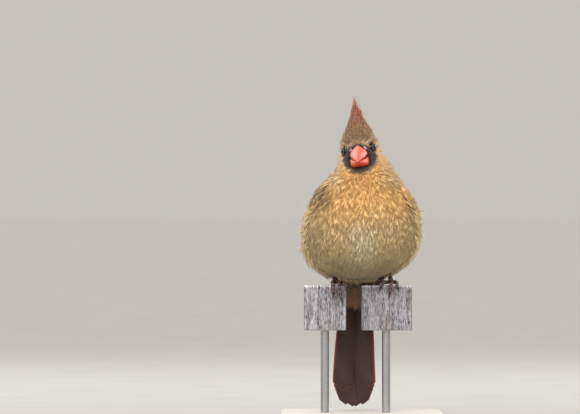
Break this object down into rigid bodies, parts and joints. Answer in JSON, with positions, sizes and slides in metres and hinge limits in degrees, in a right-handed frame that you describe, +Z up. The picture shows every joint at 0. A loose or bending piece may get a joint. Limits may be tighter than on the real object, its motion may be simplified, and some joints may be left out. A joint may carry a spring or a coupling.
{
  "type": "northern cardinal",
  "caption": "Still life-size model of a perched, fluffed-up songbird with a raised crest, gripping a cut length of board on a plain display stand.",
  "frame": {"origin": "centre of the stand base's underside, on the floor", "axes": "+Z up; the bird faces -Y, so +X is its own left"},
  "size_m": [0.1, 0.12, 0.2025],
  "materials": {
    "plumage_head": "matte soft contour feathers, buff with a dark grey mask round the bill",
    "plumage_breast": "matte soft contour feathers, golden tan on the breast shading to olive grey below",
    "plumage_crest": "long loose crest feathers, grey olive with dusky red vanes",
    "plumage_tail": "smooth stiff tail quills, dark maroon brown with red edges",
    "plumage_wing": "smooth wing quills and coverts, grey brown with dull red edges",
    "bill_upper": "satin horn, coral red with a pale ridge",
    "bill_lower": "satin horn, deep orange red",
    "eye": "wet gloss, very dark brown",
    "leg_skin": "scaled skin, dusky purplish brown, satin",
    "claw": "satin black horn",
    "perch_wood": "bare board weathered to silver grey, upright grain",
    "stand_base": "matte pale grey paint",
    "stand_steel": "fine brushed steel rod"
  },
  "bodies": {
    "root": {"head": "plumage_head", "neck": "plumage_breast", "torso": "plumage_breast", "crest": "plumage_crest", "bill_upper": "bill_upper", "bill_lower": "bill_lower", "eye_left": "eye", "eye_right": "eye", "wing_left": "plumage_wing", "wing_right": "plumage_wing", "tail": "plumage_tail", "leg_left": "leg_skin", "claw_left_inner": "claw", "claw_left_middle": "claw", "claw_left_outer": "claw", "claw_left_hind": "claw", "leg_right": "leg_skin", "claw_right_inner": "claw", "claw_right_middle": "claw", "claw_right_outer": "claw", "claw_right_hind": "claw", "stand_perch_left": "perch_wood", "stand_perch_right": "perch_wood", "stand_rod_left": "stand_steel", "stand_rod_right": "stand_steel", "stand_base": "stand_base"}
  },
  "joints": []
}
